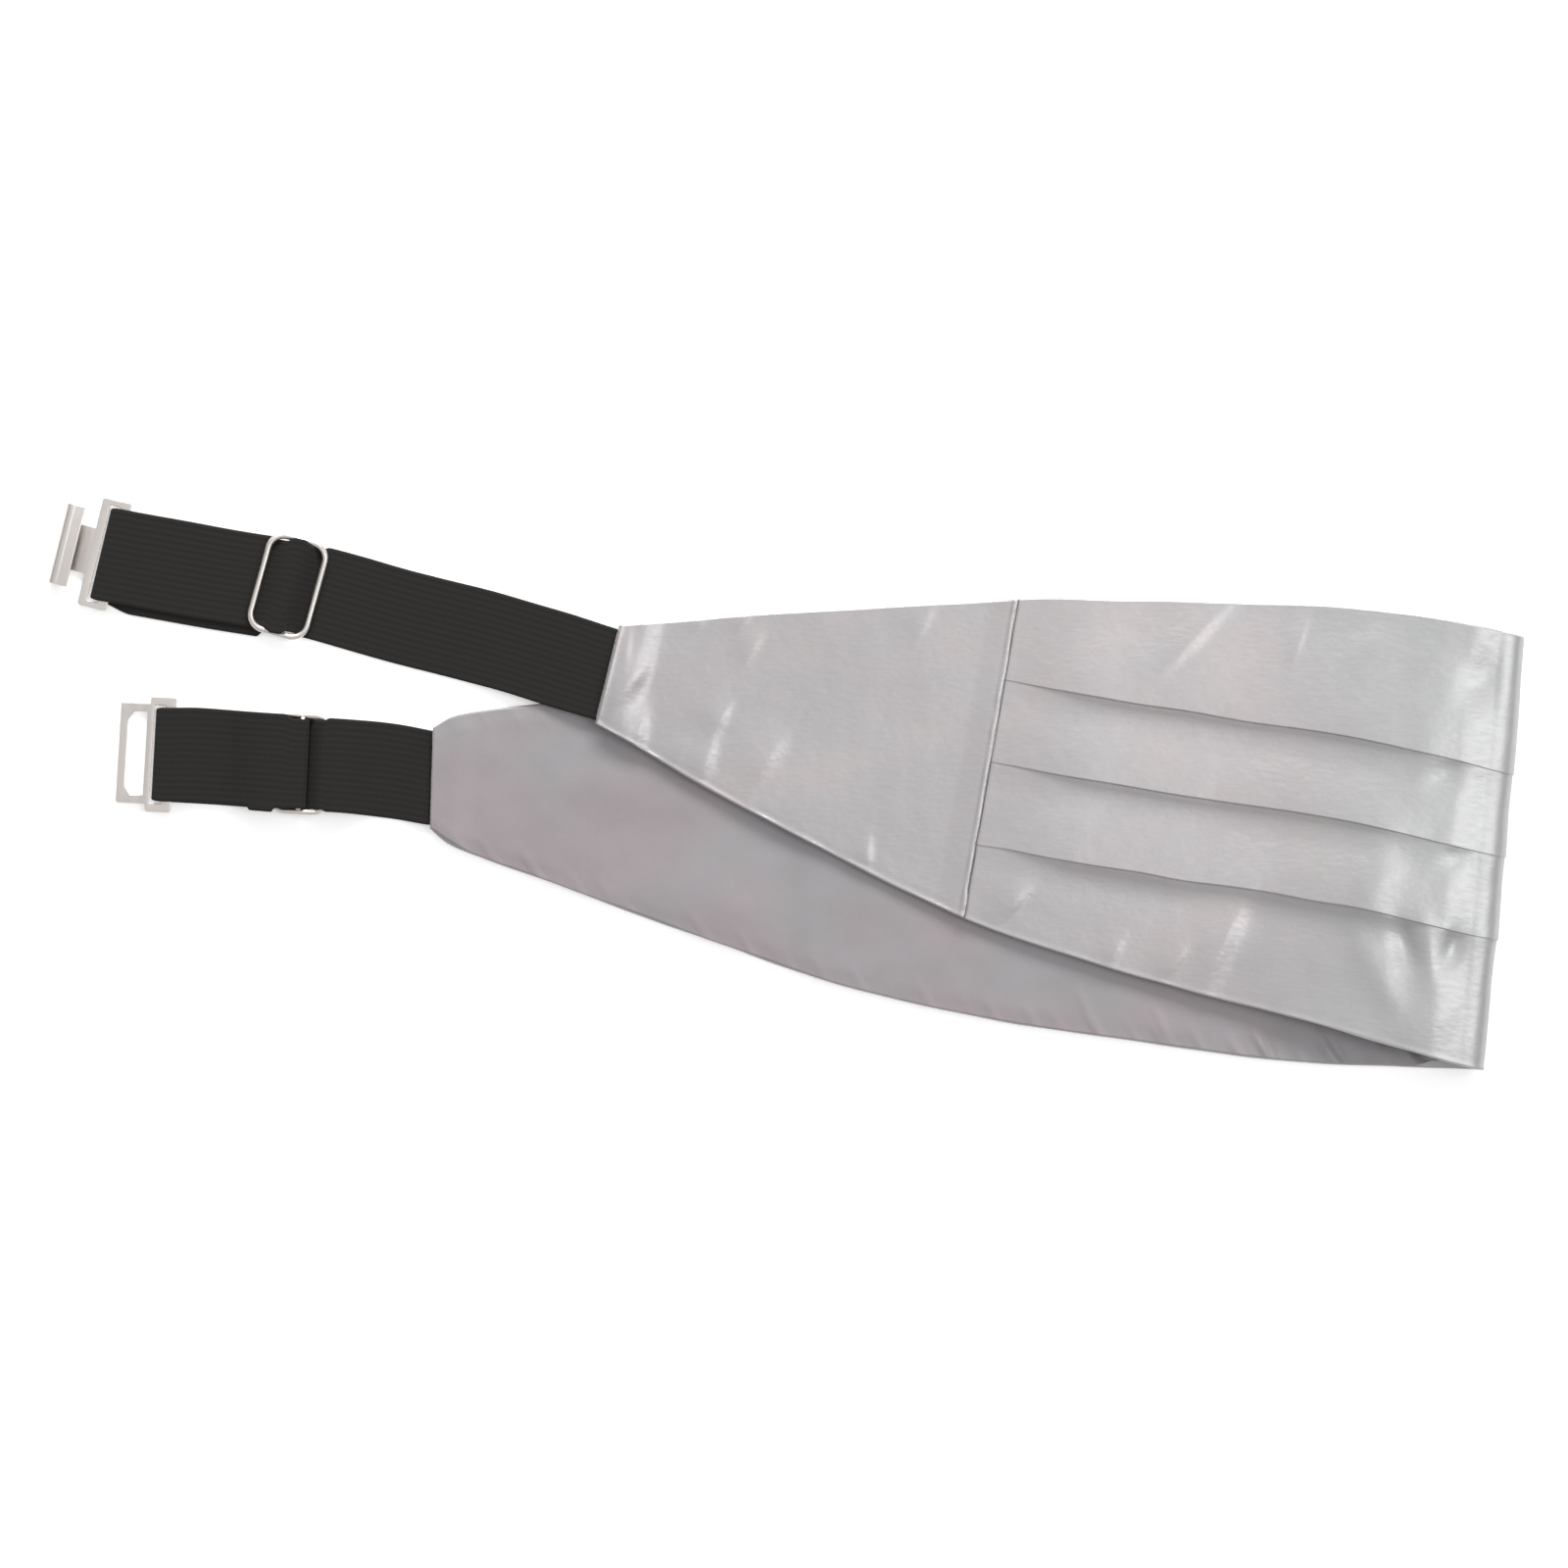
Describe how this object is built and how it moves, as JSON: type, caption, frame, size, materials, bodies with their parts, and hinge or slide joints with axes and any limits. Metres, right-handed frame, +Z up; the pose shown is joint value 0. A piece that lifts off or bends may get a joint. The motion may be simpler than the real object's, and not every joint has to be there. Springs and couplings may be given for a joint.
{
  "type": "cummerbund",
  "caption": "Pleated satin cummerbund folded flat, with plain tapering sides, lining, sliding elastic straps and a hook and eye clasp.",
  "frame": {"origin": "middle of the footprint of the whole sash, on the surface that it lies on", "axes": "+X towards the fold, +Y towards the upper edges of the cloth, +Z up from the surface"},
  "size_m": [0.4698, 0.1824, 0.0169],
  "materials": {
    "satin": "silver-grey satin weave, glossy",
    "lining": "mauve-grey taffeta, soft sheen",
    "elastic": "matt black ribbed elastic",
    "metal": "polished nickel plate"
  },
  "bodies": {
    "root": {"front_panel_pleated": "satin", "side_panel_hook_side": "satin", "side_panel_eye_side": "satin", "lining": "lining", "elastic_hook_side": "elastic", "elastic_eye_side": "elastic", "slider_hook_side": "metal", "slider_eye_side": "metal", "hook_clasp": "metal", "eye_clasp": "metal"}
  },
  "joints": []
}
